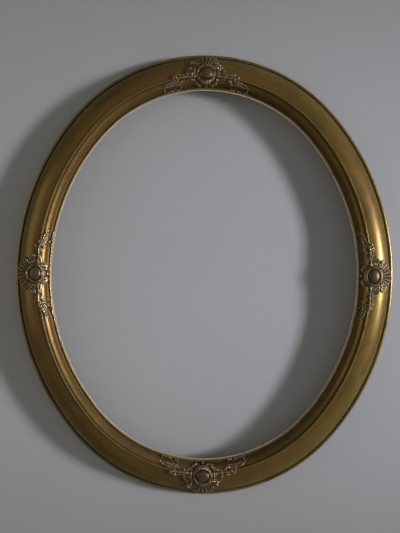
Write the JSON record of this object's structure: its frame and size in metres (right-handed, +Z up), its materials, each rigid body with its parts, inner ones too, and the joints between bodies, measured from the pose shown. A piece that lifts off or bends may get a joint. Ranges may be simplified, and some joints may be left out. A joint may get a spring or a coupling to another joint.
{
  "type": "oval picture frame",
  "caption": "Oval gilded wooden picture frame with applied cast ornaments, a rebate for the picture, turn buttons and ring hangers on the back.",
  "frame": {"origin": "centre of the oval in the back plane, where the frame meets the wall", "axes": "+Z up as hung, +Y out of the back towards the wall, +X to the right seen from the front"},
  "size_m": [0.619, 0.0426, 0.721],
  "materials": {
    "gilt_moulding": "aged bronze-gold gilding over gesso on the face, bare brown wood at the back",
    "gilt_casting": "aged dull gilding on cast composition, rubbed bright on the high points",
    "burnished_boss": "burnished gilding, smooth",
    "dowel_wood": "plain birch",
    "button_brass": "stamped brass, tarnished",
    "screw_steel": "dull steel",
    "hanger_brass": "folded brass strip, tarnished",
    "ring_wire": "brassed steel wire, worn"
  },
  "bodies": {
    "frame": {"rail_top": "gilt_moulding", "cartouche_top": "gilt_casting", "boss_top": "burnished_boss", "rail_right": "gilt_moulding", "cartouche_right": "gilt_casting", "boss_right": "burnished_boss", "rail_bottom": "gilt_moulding", "cartouche_bottom": "gilt_casting", "boss_bottom": "burnished_boss", "rail_left": "gilt_moulding", "cartouche_left": "gilt_casting", "boss_left": "burnished_boss", "spray_top_left": "gilt_casting", "spray_top_right": "gilt_casting", "spray_right_upper": "gilt_casting", "spray_right_lower": "gilt_casting", "spray_bottom_left": "gilt_casting", "spray_bottom_right": "gilt_casting", "spray_left_upper": "gilt_casting", "spray_left_lower": "gilt_casting", "joint_dowels": "dowel_wood", "button_screws": "screw_steel", "hanger_screws": "screw_steel", "hanger_strap_left": "hanger_brass", "hanger_strap_right": "hanger_brass"},
    "button_top": {"turn_button_top": "button_brass"},
    "button_right": {"turn_button_right": "button_brass"},
    "button_bottom": {"turn_button_bottom": "button_brass"},
    "button_left": {"turn_button_left": "button_brass"},
    "ring_left": {"d_ring_left": "ring_wire"},
    "ring_right": {"d_ring_right": "ring_wire"}
  },
  "joints": [
    {"name": "top_button_turn", "type": "hinge", "parent": "frame", "child": "button_top", "pos_m": [0, -0.0042, 0.324], "axis": [0, -1, 0], "range_deg": [0, 180]},
    {"name": "right_button_turn", "type": "hinge", "parent": "frame", "child": "button_right", "pos_m": [0.273, -0.0042, 0], "axis": [0, 1, 0], "range_deg": [0, 180]},
    {"name": "bottom_button_turn", "type": "hinge", "parent": "frame", "child": "button_bottom", "pos_m": [0, -0.0042, -0.324], "axis": [0, 1, 0], "range_deg": [0, 180]},
    {"name": "left_button_turn", "type": "hinge", "parent": "frame", "child": "button_left", "pos_m": [-0.273, -0.0042, 0], "axis": [0, -1, 0], "range_deg": [0, 180]},
    {"name": "left_ring_swing", "type": "hinge", "parent": "frame", "child": "ring_left", "pos_m": [-0.23692, -0.00295, 0.16279], "axis": [-0.9135, 0, 0.4067], "range_deg": [0, 170]},
    {"name": "right_ring_swing", "type": "hinge", "parent": "frame", "child": "ring_right", "pos_m": [0.23692, -0.00295, 0.16279], "axis": [-0.9135, 0, -0.4067], "range_deg": [0, 170]}
  ]
}
